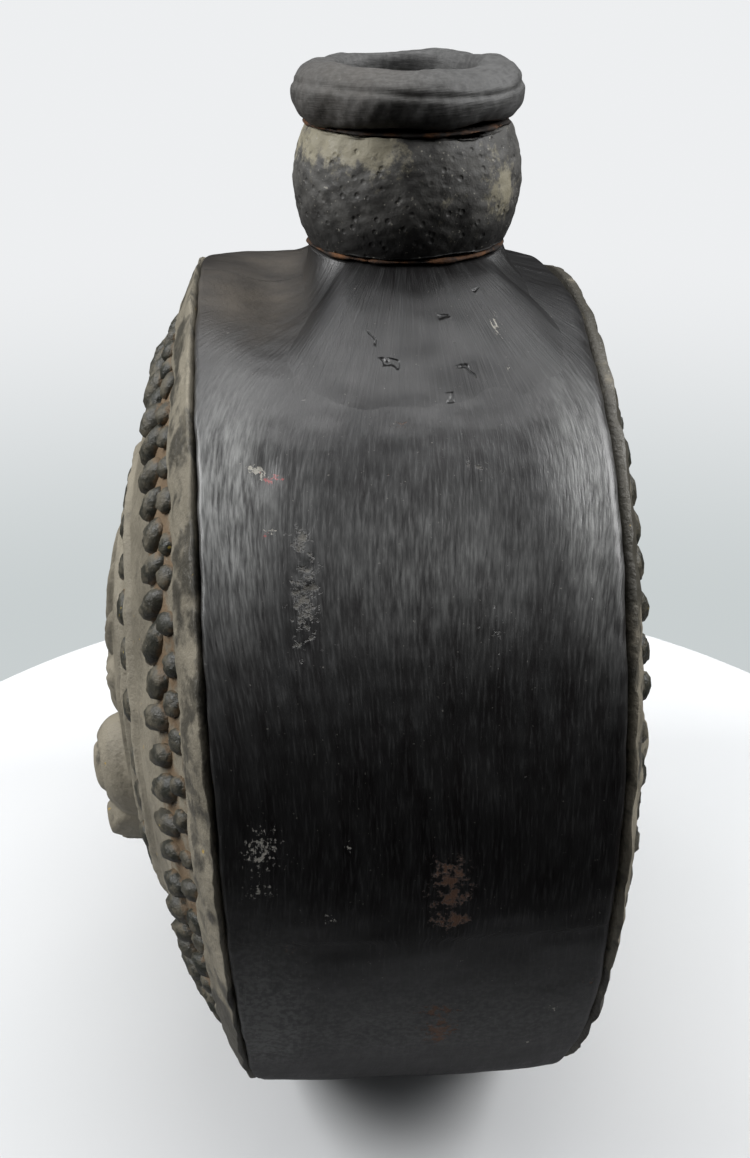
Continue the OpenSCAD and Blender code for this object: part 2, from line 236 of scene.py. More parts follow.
def make_band():
    """Band of the drum: a section of outside, two sides and inside, carried round the drum's axis.
    Faces inside the neck's bore are left out, and the underside is rubbed flat at the table."""
    columns = 640
    angle = np.linspace(0, 360, columns, endpoint=False)[None, :]
    even = np.linspace(0, 1, 118)[:, None]
    share = 0.35 * (0.5 - 0.5 * np.cos(math.pi * even)) + 0.65 * even
    left, right = edge_x(-1, angle), edge_x(1, angle)
    x_out = left + (right - left) * share
    right_round = RIGHT_ROUND + RIGHT_ROUND_TOP * bump(turn_gap(angle, 0), 0, 40)
    drop = edge_drop(x_out - left, LEFT_ROUND) + edge_drop(right - x_out, right_round)
    r_out = drum_radius(angle + 0 * share, x_out) - drop
    inner = DRUM_R - BAND_T
    step = np.linspace(0, 1, 5)[1:-1, None]
    x_in = right + (left - right) * np.linspace(0, 1, 12)[:, None]
    x = np.concatenate([x_out, right + 0 * step, x_in, left + 0 * step])
    r = np.concatenate([
        r_out,
        r_out[-1:] + (inner - r_out[-1:]) * step,
        inner + 0 * x_in,
        inner + (r_out[:1] - inner) * step,
    ])
    angle = angle + 0 * x
    height = AXIS_Z + r * np.cos(np.radians(angle))
    points = np.stack([x, -r * np.sin(np.radians(angle)), np.maximum(height, 0)], -1).reshape(-1, 3)
    hole_r = BORE_R + 2.5
    keep = (np.hypot(points[:, 0] - NECK_X, points[:, 1]) > hole_r) | (points[:, 2] < AXIS_Z)
    faces = outward(points, grid_faces(len(x), columns, True, keep), (0, 0, AXIS_Z))
    marks = band_marks(angle.ravel(), x.ravel(), points)
    make_mesh("burnished_band", points, faces, burnished, ["band_wall"], marks)


# Small marks on the band: kind, angle, x, reach along and across, turn in degrees, strength
BAND_SPOTS = [
    ("cream", 37.6, -27.6, 1.4, 3.4, 25, 1.0),
    ("pink", 38.6, -25.0, 1.3, 2.4, 20, 1.0),
    ("cream", 44.6, -25.4, 0.9, 2.3, -15, 0.8),
    ("pink", 44.8, -26.2, 0.7, 1.6, -20, 0.9),
    ("rough", 45.5, -20.0, 3.0, 2.0, 0, 0.8),
    ("rough", 52.0, -19.6, 9.0, 3.0, 6, 0.8),
    ("rough", 38.0, 12.5, 2.0, 5.0, 35, 0.5),
    ("rough", 56.0, 14.0, 5.0, 2.6, 0, 0.35),
    ("cream", 77.5, -29.0, 7.0, 5.0, 14, 0.72),
    ("cream", 82.5, -29.5, 2.4, 4.4, 0, 0.66),
    ("cream", 77.5, -13.6, 1.6, 0.9, 0, 0.8),
    ("cream", 86.4, -17.0, 1.4, 2.4, 30, 0.75),
    ("cream", 19.0, 19.4, 6.5, 1.9, -6, 0.7),
    ("cream", 25.0, 21.0, 2.2, 2.0, -10, 0.55),
    ("orange", 32.9, -0.8, 1.8, 2.2, 0, 0.7),
    ("orange", 102.0, 3.4, 3.2, 4.6, 0, 0.95),
    ("orange", 106.0, 4.0, 9.0, 5.0, 0, 0.9),
    ("orange", 90.5, -23.8, 1.2, 2.6, 0, 0.6),
    ("orange", 69.9, -24.3, 1.0, 1.6, 0, 0.5),
    ("orange", 63.7, -27.5, 0.5, 0.6, 0, 0.7),
    ("pit", 95.8, -4.3, 0.9, 1.7, 20, 1.0),
    ("pit", 88.5, 10.5, 0.8, 1.1, 0, 0.8),
    ("pit", 20.6, -6.4, 1.8, 4.6, 38, 1.2),
    ("pit", 24.6, -2.0, 1.6, 4.2, 14, 1.2),
    ("pit", 17.6, 8.8, 2.4, 5.2, -30, 1.1),
    ("pit", 26.0, 13.0, 2.0, 4.0, 8, 1.1),
    ("pit", 29.4, 8.8, 1.6, 4.4, -8, 1.1),
    ("pit", 15.0, 15.5, 1.6, 4.0, -50, 1.1),
    ("pit", 41.2, -32.0, 3.0, 4.6, -20, 1.0),
    ("pit", 101.0, -31.0, 1.6, 2.0, 0, 0.5),
]

# Broad marks on the band: kind, angle, x, reach along in degrees, reach across, turn in degrees, strength
BAND_CLOUDS = [
    ("brown", 6.0, -30.0, 9.6, 13.0, 0, 1.0),
    ("brown", -8.0, -24.0, 8.4, 14.0, 0, 0.7),
    # These four clouds are painted highlights: grey sheen on the upper front of the band, at both edges and
    # over the middle
    ("painted_highlight", 41.0, -33.0, 12.6, 7.5, 0, 1.6),
    ("painted_highlight", 43.0, -24.0, 7.8, 9.0, 14, 0.5),
    ("painted_highlight", 42.0, 33.0, 13.2, 7.0, 0, 1.3),
    ("painted_highlight", 48.0, 2.0, 8.4, 28.0, 0, 0.5),
    # Of the two clouds below, the first, across the whole lower front, is painted reflection of the table;
    # the second, at the lower left, is dust
    ("dust_and_reflection", 106.0, 0.0, 10.2, 60.0, 0, 0.9),
    ("dust_and_reflection", 104.0, -31.0, 13.2, 11.0, 0, 1.7),
]

# Kinds of mark that the far side lacks, and the angle and x that a mark and its copy there add up to
NEAR_ONLY = ("brown", "dust_and_reflection")
FAR_ANGLE = 189.0
FAR_X = 9.0


def spot(angle, x, at, x0, reach, width, turn, strength):
    """Strength of one mark: a bell curve along the drum and across it, turned on its place."""
    along = turn_gap(angle, at) * MM_PER_DEGREE
    across = x - x0
    cos, sin = math.cos(math.radians(turn)), math.sin(math.radians(turn))
    here = bump(across * cos + along * sin, 0, width) * bump(along * cos - across * sin, 0, reach)
    return strength * here


def stroke_place(angle, x, points):
    """Where a point lies across and along the strokes of the pebble. They run round the drum and wander a
    little, and near the neck they fan out from it."""
    near = np.hypot(x - NECK_X, points[:, 1]) / 95
    fan = np.exp(-(near**4)) * (points[:, 2] > AXIS_Z)
    turned_by = np.degrees(np.arctan2(x - NECK_X, np.abs(points[:, 1]) + 1e-6)) * 0.7
    wander = 1.1 * lumps(points, 60, 8) + 0.14 * x * np.sin(np.radians(angle * 2))
    across = (1 - fan) * (x + wander) + fan * turned_by
    return layer(across, np.radians(angle) * DRUM_R)


def band_marks(angle, x, points):
    """Colour layers of the band: the strokes, and for each kind of mark the strongest of its spots.
    The far side carries the same spots, turned to the back and shifted across."""
    found = {}
    clouds = [(kind, at, x0, reach * MM_PER_DEGREE, *form) for kind, at, x0, reach, *form in BAND_CLOUDS]
    for kind, at, x0, *form in BAND_SPOTS + clouds:
        here = spot(angle, x, at, x0, *form)
        if kind not in NEAR_ONLY:
            here = np.maximum(here, spot(angle, x, FAR_ANGLE - at, FAR_X - x0, *form))
        found[kind] = np.maximum(found.get(kind, 0), here)
    left_only = ease(-x, 13, 19)
    return {
        "stroke": stroke_place(angle, x, points),
        "marks_a": layer(found["cream"], found["orange"], found["rough"]),
        "marks_b": layer(found["pink"], found["pit"], found["brown"] * left_only),
        "marks_c": layer(found["painted_highlight"], found["dust_and_reflection"]),
    }


# Form of the neck

# Clay smoothed round the neck's foot: how far from the neck's axis it ends, to the left and right, where it
# stops at an upright plane, and to the front and back; and how far its edge lies under the band's skin
FLARE_LEFT = 22.6
FLARE_RIGHT = 24.5
FLARE_FRONT = 55.0
FLARE_BACK = 50.0
FLARE_SUNK = 0.12


def make_neck():
    """Neck and the clay smoothed round its foot: bore, top, and one hollow flare from the wall to the drum.
    The share of the way out is a power of the step. The flare stands off the wall by its reach times that
    share, and over the drum by the neck's rise times a power of the share that is left."""
    columns = 320
    a = full_turn(columns)[None, :]
    cos, sin = np.cos(a), np.sin(a)
    aside = np.where(cos < 0, FLARE_LEFT, FLARE_RIGHT) / np.maximum(np.abs(cos), 0.3)
    ahead = np.where(sin < 0, FLARE_FRONT, FLARE_BACK)
    forward = np.where(cos < 0, ease(np.abs(sin), 0.72, 0.88), ease(np.abs(sin), 0.62, 0.86))
    reach = aside + (ahead - aside) * forward - NECK_R
    step = np.linspace(0, 1, 46)[:, None]
    way = step**1.3
    r = NECK_R - 0.1 + reach * way
    x = NECK_X + r * cos
    y = r * sin
    angle = np.degrees(np.arctan2(-y, np.sqrt(np.clip(DRUM_R**2 - y * y, 1, None))))
    ground = AXIS_Z + np.sqrt(np.clip(drum_radius(angle, x) ** 2 - y * y, 1, None))
    rise = NECK_TOP - 0.6 - ground[:1]
    z = ground + (rise + FLARE_SUNK) * (1 - way) ** 1.9 - FLARE_SUNK
    z = z + 0.9 * lumps(np.stack([x, y, z], -1), 14, 21) * step * (1 - step)
    flare = np.stack([x, y, z], -1)
    bore_z = np.linspace(AXIS_Z + DRUM_R - BAND_T - 3, NECK_TOP, 8)[:, None]
    bore = np.stack([NECK_X + BORE_R * cos + 0 * bore_z, BORE_R * sin + 0 * bore_z, bore_z + 0 * cos], -1)
    cap_r = BORE_R + (NECK_R - BORE_R) * np.array([0.35, 0.75])[:, None]
    cap = np.stack([NECK_X + cap_r * cos, cap_r * sin, NECK_TOP + 0 * cap_r * cos], -1)
    grid = np.concatenate([bore, cap, flare])
    points = grid.reshape(-1, 3)
    faces = outward(points, grid_faces(len(grid), columns, False), (NECK_X, 0, AXIS_Z + 60))
    marks = band_marks(np.degrees(np.arctan2(-points[:, 1], points[:, 2] - AXIS_Z)), points[:, 0], points)
    marks["stroke"][:, 0] = np.tile(np.degrees(a.ravel()), len(grid)) * 0.7
    marks["stroke"][:, 1] = points[:, 2] + np.hypot(points[:, 0] - NECK_X, points[:, 1])
    nodes = ["neck_tube", "shoulder_blend"]
    make_mesh("neck_and_shoulder", points, faces, burnished, nodes, marks)


def turned(name, section, columns, material, node, rough, marks_of=None):
    """Closed piece of revolution about the neck's axis: section is a closed list of radius and height,
    and rough gives the unevenness along the normal, which the section's own directions supply."""
    section = np.asarray(section, float)
    forward = np.roll(section, -1, 0) - np.roll(section, 1, 0)
    normal = np.stack([forward[:, 1], -forward[:, 0]], 1)
    normal /= np.linalg.norm(normal, axis=1)[:, None] + 1e-9
    a = full_turn(columns)
    direction = np.stack([np.cos(a), np.sin(a), 0 * a], -1)
    up = np.array([0, 0, 1.0])
    base = section[:, None, :1] * direction + section[:, None, 1:] * up
    out = normal[:, None, :1] * direction + normal[:, None, 1:] * up
    shaped = base + out * rough(base, section[:, None, 0] + 0 * a)[..., None]
    points = (shaped + np.array([NECK_X, 0, 0])).reshape(-1, 3)
    middle_r, middle_z = section.mean(0)
    core = middle_r * direction + middle_z * up + np.array([NECK_X, 0, 0])
    faces = outward(points, grid_faces(len(section), columns, True), np.tile(core, (len(section), 1)))
    marks = marks_of(points) if marks_of else None
    make_mesh(name, points, faces, material, [node], marks)


def arc(cx, cz, rx, rz, start, end, steps):
    """Points of an elliptical arc, in degrees from the outward direction."""
    t = np.radians(np.linspace(start, end, steps))
    return np.stack([cx + rx * np.cos(t), cz + rz * np.sin(t)], 1)


def neck_angle(points):
    """Angle of points round the neck's axis, in degrees from the right towards the viewer."""
    return np.degrees(np.arctan2(-points[:, 1], points[:, 0] - NECK_X))


def swollen(end_r, belly_r, first, last, steps):
    """Side of the bulb, from first to last, which are -1 for the foot and 1 for the top: an arc that swells
    to belly_r at half height. Its radius is the squares of half the height and of the swell, added, over
    twice the swell."""
    swell = belly_r - end_r
    arc_r = ((BULB_H / 2) ** 2 + swell**2) / (2 * swell)
    half = math.degrees(math.asin(BULB_H / 2 / arc_r))
    return arc(belly_r - arc_r, BULB_Z + BULB_H / 2, arc_r, arc_r, first * half, last * half, steps)


def bulb_marks(points):
    """Khaki dust under the lip at the left and back, a pale patch and a speck at the right, black foot."""
    a = neck_angle(points)
    up = (points[:, 2] - BULB_Z) / BULB_H
    left = ease(turn_gap(a, 84), -4, 30) * (0.5 + 0.5 * bump(turn_gap(a, 125), 0, 40))
    under_lip = 1.2 * bump(up, 0.93, 0.2) * left
    patch = 0.88 * bump(up, 0.55, 0.3) * bump(turn_gap(a, 40), 0, 14)
    speck = 0.8 * bump(up, 0.52, 0.05) * bump(turn_gap(a, 74), 0, 4)
    back = 0.5 * bump(up, 0.75, 0.2) * bump(turn_gap(a, 250), 0, 50)
    dust = np.clip(under_lip + patch + speck + back, 0, 1)
    return {"marks_a": layer(dust, 1 - ease(up, 0.05, 0.5))}


def bulb_rough(base, radius):
    """Unevenness of the bulb's outside, which lies a little inside its arc."""
    skin = uneven(base, (0.35, 26, 31), (0.13, 6, 32), (0.07, 2.4, 33, 20))
    return ease(radius, 19.5, 20.5) * (skin - 0.25)


def make_bulb():
    """Hollow bulb, outside and inside each an arc that swells at half height, with a sandy, pitted skin."""
    outer = swollen(BULB_END_R, BULB_R - 0.2, -1, 1, 72)
    inner = swollen(BORE_R, BULB_R - 5.5, 1, -1, 16)
    section = np.concatenate([outer, inner])
    turned("sandy_bulb", section, 360, sandy, "neck_bulb", bulb_rough, bulb_marks)


def lip_section():
    """Section of the rolled lip: flat foot, fat round outside, crest, shallow dish and straight bore."""
    belly_z = LIP_Z + 5.5
    top = LIP_Z + LIP_H
    return np.concatenate([
        np.stack([np.linspace(MOUTH_R, 19.4, 6), np.full(6, LIP_Z)], 1),
        arc(20.0, belly_z, LIP_R - 20.5, 5.4, -82, 0, 16),
        arc(17.2, belly_z, LIP_R - 17.7, LIP_H - 5.9, 4, 90, 22),
        np.array([[16.2, top - 0.45], [15.2, top - 0.7], [14.4, top - 1.3], [MOUTH_R, top - 2.6]]),
        np.stack([np.full(4, MOUTH_R), np.linspace(LIP_Z + 6.5, LIP_Z + 1.2, 4)], 1),
    ])


def lip_rough(base, radius):
    """Unevenness of the lip: a wobble, folds and a crease outside, and a mouth that is out of round."""
    a = np.arctan2(base[..., 1], base[..., 0])
    z = base[..., 2]
    outside = ease(radius, 14.2, 17)
    wobble = ripple(a, (0.34, 2, 0.6), (0.26, 5, 2.1), (0.16, 9, 0))
    folds = uneven(base, (0.22, 9, 41), (0.08, 3, 42))
    crease = 0.45 * bump(z, LIP_Z + 7.2 + ripple(a, (0.8, 2, 0)), 0.7) * ease(radius, 20, 22)
    mouth = ripple(a, (0.25, 3, 1), (0.175, 5, 0)) * ease(z, LIP_Z + 5, LIP_Z + 9)
    return outside * (wobble + folds - crease - 0.35) + (1 - outside) * mouth


def lip_marks(points):
    """Strokes round the lip, wear on its left, a painted sheen on its right and dust all over."""
    a = neck_angle(points)
    worn = bump(turn_gap(a, 135), 0, 50) * 0.7
    return {
        "stroke": layer(points[:, 2] * 1.2 + 0.02 * a, a * 0.4),
        "marks_a": layer(0.25 * worn, 0.25 * worn),
        "marks_b": layer(0 * a, 0 * a, 0.5 * worn),
        "marks_c": layer(0.6 * bump(turn_gap(a, 30), 0, 30), 1.0 + 0 * a),
    }


def make_lip():
    """Rolled lip on top of the bulb."""
    turned("rolled_lip", lip_section(), 360, burnished, "mouth_lip", lip_rough, lip_marks)


def make_slip(name, node, z, inner_r, outer_r, seed):
    """Ring of slip squeezed out of a joint: a flat section whose outer edge wanders in and out."""
    edge = [(outer_r - 1, z), (outer_r, z + 0.2), (outer_r + 0.2, z + 0.4), (outer_r, z + 0.65)]
    section = [(inner_r, z), *edge, (outer_r - 1, z + SLIP_T), (inner_r, z + SLIP_T)]

    def rough(base, radius):
        return ease(radius, outer_r - 1.5, outer_r) * 0.3 * lumps(base, 7, seed)

    turned(name, section, 240, slip_clay, node, rough)


# Form of the faces

# Foot of the plain dome: its radius and its height over the band's edge; past its end the dome stays level
DOME_FOOT_R = 94.0
DOME_FOOT_H = 1.2
DOME_END_R = 96.0

# Fan of leaves: number, step in degrees, distance of their middle, half their length and width, height
LEAVES = 7
LEAF_STEP = 20.0
LEAF_MIDDLE = 26.0
LEAF_HALF = 13.5
LEAF_WIDTH = 3.9
LEAF_H = 2.1

# Boss in the middle: radius and height
BOSS_R = 12.5
BOSS_H = 3.6

# Side lobes: up, out from the middle, radius up, radius out, height
SIDE_LOBES = [
    (-7, 31, 12.5, 11, 7.6),
    (-22.5, 31.5, 9.5, 9.5, 8.0),
    (-33, 25, 9, 9.5, 7.2),
    (-36, 12, 8, 8, 4.2),
]

# Eyes of the scrolls: up, out from the middle, radius. Drops of the stem: up, radius out
SCROLL_EYES = [(-7, 31, 4.6), (-22.5, 31.5, 3.4), (-33, 25, 3.2)]
DROPS = [(-20, 5.4), (-29, 4.4), (-38, 3.4)]


def lobe(x, y, x0, y0, rx, ry, height):
    """Rounded boss: height times the root of what is left inside an ellipse round x0, y0."""
    inside = 1 - ((x - x0) / rx) ** 2 - ((y - y0) / ry) ** 2
    return height * np.sqrt(np.clip(inside, 0, 1))


def leaf(x, y, index):
    """Leaf of the fan, counted from the middle one: an ellipse that narrows outwards, with a cut midrib."""
    a = math.radians(index * LEAF_STEP)
    along = x * math.cos(a) + y * math.sin(a) - LEAF_MIDDLE
    off = y * math.cos(a) - x * math.sin(a)
    inside = 1 - (along / (LEAF_HALF - 0.7 * abs(index))) ** 2 - (off / (LEAF_WIDTH - 0.04 * along)) ** 2
    inside = np.clip(inside, 0, 1)
    return LEAF_H * inside**0.6 - 0.7 * bump(off, 0, 0.7) * inside


def medallion(x, y, rho, phi):
    """Relief on the raised field, up x and across y: a fan of leaves, a boss with petals, lobed scrolls at
    the sides, and a stem with drops. Where forms meet, the higher one stays."""
    height = np.zeros_like(rho)
    for index in range(-(LEAVES // 2), LEAVES // 2 + 1):
        height = np.maximum(height, leaf(x, y, index))
    height = np.maximum(height, lobe(x, y, 0, 0, BOSS_R, BOSS_R, BOSS_H))
    height = height + 0.5 * np.cos(8 * phi) * bump(rho, 8.5, 3) * (rho < BOSS_R)
    for side in (-1, 1):
        for up, out, *form in SIDE_LOBES:
            height = np.maximum(height, lobe(x, y, up, side * out, *form))
    for up, out, r in SCROLL_EYES:
        for side in (-1, 1):
            away = np.hypot(x - up, y - side * out)
            height = height - 0.8 * bump(away, r + 1.6, 0.8) * (height > 3)
    stem = 1.8 * bump(y, 0, 2.2) * ease(-x, 12, 16) * (1 - ease(-x, 36, 40))
    drops = sum(lobe(x, y, up, 0, 4.2, out, 2.8) for up, out in DROPS)
    return np.maximum(np.maximum(height, stem), drops)


class Face:
    """One pressed face: its side, -1 for left, its name, how high its dome rises, and its seed."""

    def __init__(self, side, word, crown, seed):
        self.side = side
        self.word = word
        self.crown = crown
        self.seed = seed
        rise = crown - DOME_FOOT_H
        self.ball_r = (DOME_FOOT_R**2 + rise**2) / (2 * rise)

    def dome(self, rho, thickness=0.0):
        """Height of the plain dome, or of its inside where a thickness is given: a cap of a sphere."""
        ball_r = self.ball_r - thickness
        return self.crown - self.ball_r + np.sqrt(ball_r**2 - np.minimum(rho, DOME_END_R) ** 2)

    def points(self, rho, phi):
        """Points of the flat face, on which its unevenness and its colours are worked out."""
        return np.stack([rho * np.cos(phi), rho * np.sin(phi), 0 * rho + self.seed], -1)

    def border(self, rho, points):
        """Height of the raised border, a curved slope from the rim up to its inner edge."""
        slope = np.clip((RIM_R - rho) / (RIM_R - BORDER_R), 0, 1)
        height = 0.5 + (self.dome(BORDER_R) + 1.4) * slope**0.8
        skin = uneven(points, (0.28, 9, self.seed + 3), (0.12, 3.5, self.seed + 4))
        return np.maximum(height + skin, 0.3)

    def cords(self, rho, points):
        """Height of the two cords beside the berries, round ridges that wander a little."""
        wander = 0.2 * lumps(points, 22, self.seed + 1)
        lumpy = 1 + 0.1 * lumps(points, 4, self.seed + 5)
        ridges = [
            rise * np.clip(1 - ((rho - r - wander) / 1.6) ** 2, 0, 1) ** 0.6
            for r, rise in ((OUTER_CORD_R, 1.25), (INNER_CORD_R, 1.15))
        ]
        return sum(ridges) * lumpy

    def height(self, rho, phi):
        """Height over the band's edge: dome, border with a groove inside it, a low step under the rows of
        pellets, cords, raised field and medallion, with the unevenness of hand-pressed clay."""
        points = self.points(rho, phi)
        border_in = BORDER_R + 0.5 * lumps(points, 16, self.seed + 2)
        on_border = ease(rho, border_in - 0.9, border_in + 0.5)
        height = self.dome(rho) * (1 - on_border) + self.border(rho, points) * on_border
        height = height - 0.5 * bump(rho, border_in - 1.3, 0.9)
        rows_end = ease(rho, SMALL_ROW_R + 2, SMALL_ROW_R + 3)
        height = height + 0.35 * ease(rho, LARGE_ROW_R - 6, LARGE_ROW_R - 4) * (1 - rows_end)
        field = 1.7 + 0.96 * medallion(points[..., 0], points[..., 1], rho, phi)
        height = height + self.cords(rho, points) + field * (1 - ease(rho, FIELD_R - 1.2, FIELD_R))
        seed = self.seed + 6
        skin = uneven(points, (0.22, 24, seed), (0.1, 7, seed + 1), (0.04, 2.6, seed + 2))
        return height + skin * (1 - on_border) - 0.15

    def place(self, rho, phi, height):
        """Points of the face in the flask's own frame, none of them below the table."""
        ahead = np.array([self.side * math.cos(LEAN), 0, -math.sin(LEAN)])
        upward = np.array([self.side * math.sin(LEAN), 0, math.cos(LEAN)])
        across = np.array([0, -self.side, 0.0])
        centre = np.array([self.side * BAND_HALF, 0, AXIS_Z])
        up, out = (rho * np.cos(phi))[..., None], (rho * np.sin(phi))[..., None]
        placed = centre + up * upward + out * across + height[..., None] * ahead
        placed[..., 2] = np.maximum(placed[..., 2], 0)
        return placed.reshape(-1, 3)

    def marks(self, rho, phi):
        """Colour layer of the face: wear on the border and the high relief, and a darkening towards its
        bottom;
        soil among the pellets; and the ridges of the cords."""
        points = self.points(rho, phi)
        x, y = points[..., 0], points[..., 1]
        patches = 0.4 * ease(lumps(points, 20, self.seed + 9), -0.4, 0.7)
        right_top = 0.5 * (self.side > 0) * ease(x, 40, 80)
        # The border darkens towards the bottom of the face
        border = ease(rho, BORDER_R, BORDER_R + 2) * (0.5 + patches + 0.7 * ease(-x, 0, 50) + right_top)
        # Darker towards the bottom of the face, outside the field
        lower = 0.5 * ease(-x, 10, 60) * ease(rho, FIELD_R, 60)
        high = 0.35 * ease(medallion(x, y, rho, phi) * (rho < FIELD_R), 1.5, 6)
        rows_middle = (LARGE_ROW_R + SMALL_ROW_R) / 2 - 1
        soil = bump(rho, rows_middle, 6.5) + 0.35 * bump(rho, BERRY_ROW_R, 4)
        ridges = bump(rho, INNER_CORD_R, 1.2) + bump(rho, OUTER_CORD_R, 1.2)
        worn = np.clip(border + lower + high, 0, 1.2)
        return {"face": layer(worn, np.clip(soil, 0, 1), np.clip(ridges, 0, 1))}


def make_face(face):
    """Pressed face as one closed shell: rings from the middle of the front out to the rim and back inside.
    The rim is drawn in a little, on the right face more, and most at its top."""
    columns = 420
    phi = full_turn(columns)[None, :]
    rings = [np.linspace(0.35, 46, 96), np.linspace(46.5, 86, 60), np.linspace(86.4, RIM_R, 36)]
    front = np.concatenate(rings)[:, None]
    drawn_in = 1.0 if face.side < 0 else 1.8 + 3.2 * bump(turn_gap(np.degrees(phi), 0), 0, 42)
    front = front + 0 * phi - drawn_in * np.clip((front - BORDER_R) / (RIM_R - BORDER_R), 0, 1)
    back = np.concatenate([[95, 90, 84.5], np.linspace(82, 0.6, 14)])[:, None] + 0 * phi
    rho = np.concatenate([front, back])
    phi = phi + 0 * rho
    back_height = np.maximum(face.dome(back, DISC_T), 0.02)
    height = np.concatenate([face.height(front, phi[: len(front)]), back_height])
    points = face.place(rho, phi, height)
    faces = grid_faces(len(rho), columns, False)
    faces.append(list(range(columns))[::-1])
    faces.append(list(range(len(points) - columns, len(points))))
    faces = outward(points, faces, points.mean(0))
    laid_on = ("disc", "border", "ring_cords", "field", "fan", "heart", "lobes")
    nodes = [f"{face.word}_{part}" for part in laid_on]
    marks = face.marks(rho.ravel(), phi.ravel())
    make_mesh(f"{face.word}_face", points, faces, khaki, nodes, marks)


# Rows of pellets: piece, node, radius of the row, number on the left and on the right, length, width, rise,
# start in steps of the row, and twist on the left in degrees, which is turned over on the right
PELLET_ROWS = [
    ("small_row", "small_pellets", SMALL_ROW_R, 69, 69, 4.9, 5.0, 2.3, 0.0, 0.0),
    ("large_row", "large_pellets", LARGE_ROW_R, 69, 59, 8.8, 5.5, 3.1, 0.5, 26.0),
    ("berry_row", "ring_berries", BERRY_ROW_R, 29, 29, 6.8, 7.6, 1.8, 0.5, 0.0),
]


def pellet_shape():
    """Points and faces of one pellet of unit radius: a ball of a few dozen faces, made slightly boxy."""
    rings, around = 6, 12
    polar = np.linspace(0, math.pi, rings + 2)[1:-1, None]
    turn = full_turn(around)[None, :]
    out = np.sin(polar)
    ball = np.stack([out * np.cos(turn), out * np.sin(turn), np.cos(polar) + 0 * turn], -1)
    points = np.concatenate([[[0, 0, 1.0]], ball.reshape(-1, 3), [[0, 0, -1.0]]])
    points = np.sign(points) * np.abs(points) ** 0.86

    def at(ring, column):
        return 1 + ring * around + column % around

    last = len(points) - 1
    faces = [[0, at(0, j), at(0, j + 1)] for j in range(around)]
    for k in range(rings - 1):
        faces += [[at(k, j), at(k + 1, j), at(k + 1, j + 1), at(k, j + 1)] for j in range(around)]
    faces += [[last, at(rings - 1, j + 1), at(rings - 1, j)] for j in range(around)]
    return points, faces


def make_pellets(face, piece, node, row_r, left, right, length, width, rise, start, twist, seed):
    """Row of pellets: one shape, copied round the row, each with its own place, size and turn, with every
    point moved in or out a little at random, and set with its foot in the clay of the face."""
    count = left if face.side < 0 else right
    unit, unit_faces = pellet_shape()
    rng = np.random.default_rng(seed)
    phi = (np.arange(count) + start + rng.uniform(-0.12, 0.12, count)) * TAU / count
    rho = row_r + rng.uniform(-0.45, 0.45, count)
    size = rng.uniform(0.8, 1.12, (count, 3)) * np.array([length / 2, width / 2, rise])
    tilt = np.radians(rng.normal(-face.side * twist, 12, count))[:, None]
    swell = 1 + 0.06 * rng.normal(size=(count, len(unit), 1)).clip(-1.3, 1.3)
    local = unit * size[:, None] * swell
    out = local[..., 0] * np.cos(tilt) - local[..., 1] * np.sin(tilt)
    along = local[..., 0] * np.sin(tilt) + local[..., 1] * np.cos(tilt)
    slope = -rho[:, None] / face.ball_r
    height = face.height(rho, phi)[:, None] + slope * out + 0.92 * local[..., 2] + 0.05
    points = face.place(rho[:, None] + out, phi[:, None] + along / row_r, height)
    first = points[: len(unit)]
    unit_faces = outward(first, unit_faces, first.mean(0))
    faces = [[i + k * len(unit) for i in corners] for k in range(count) for corners in unit_faces]
    foot = np.tile(ease(unit[:, 2], -0.05, 0.95), count)
    tone = np.repeat(rng.uniform(0, 1, count), len(unit))
    name, nodes = f"{face.word}_{piece}", [f"{face.word}_{node}"]
    make_mesh(name, points, faces, pellet_clay, nodes, {"pellet": layer(foot, tone)})


# Finishes

# Colours, as linear red, green and blue: burnished clay
BLACK_CLAY = (0.006, 0.0051, 0.0053)
GREY_CLAY = (0.012, 0.0121, 0.0123)
STROKE_GREY = (0.034, 0.0343, 0.0345)
CLOUD_GREY = (0.025, 0.025, 0.025)
# Painted highlight, laid on the upper front of the band and on the right of the lip
PAINTED_HIGHLIGHT_GREY = (0.24, 0.242, 0.235)
# Grey of dust, also laid as painted reflection of the table on the band's lower front
DUST_AND_REFLECTION_GREY = (0.1, 0.1, 0.098)
FIRED_BROWN = (0.105, 0.088, 0.068)
SCUFF_TAN = (0.13, 0.12, 0.1)
SCUFF_ORANGE = (0.16, 0.075, 0.04)
SCUFF_CREAM = (0.42, 0.4, 0.35)
SCUFF_PINK = (0.3, 0.075, 0.075)
SPECK_CREAM = (0.3, 0.29, 0.26)
CRACK_BLACK = (0.004, 0.004, 0.004)

# Sandy clay
SAND_DARK = (0.045, 0.0435, 0.041)
SAND_LIGHT = (0.1, 0.097, 0.09)
SAND_GRAIN = (0.17, 0.165, 0.15)
SAND_FOOT = (0.014, 0.014, 0.014)
SAND_DUST = (0.33, 0.3, 0.215)
PALE_GRIT = (0.4, 0.38, 0.32)

# Faces and their pellets
KHAKI_DARK = (0.16, 0.143, 0.107)
KHAKI_LIGHT = (0.27, 0.242, 0.185)
KHAKI_PATCH = (0.075, 0.066, 0.05)
FACE_SOIL = (0.17, 0.105, 0.052)
FACE_WORN = (0.045, 0.043, 0.036)
RIDGE_PALE = (0.36, 0.33, 0.26)
FACE_OCHRE = (0.45, 0.3, 0.06)
PELLET_DARK = (0.024, 0.026, 0.02)
PELLET_LIGHT = (0.055, 0.052, 0.04)
PELLET_KHAKI = (0.13, 0.115, 0.082)
PELLET_SOIL = (0.155, 0.103, 0.056)
PELLET_OCHRE = (0.4, 0.3, 0.05)

# Slip and turntable; glossy clay sees the table in the last colour
SLIP_BLACK = (0.02, 0.016, 0.014)
SLIP_ORANGE = (0.17, 0.075, 0.03)
TABLE_GREY = (0.75, 0.765, 0.775)
TABLE_WHITE = (0.79, 0.8, 0.81)
TABLE_MIRRORED = (0.16, 0.16, 0.165)


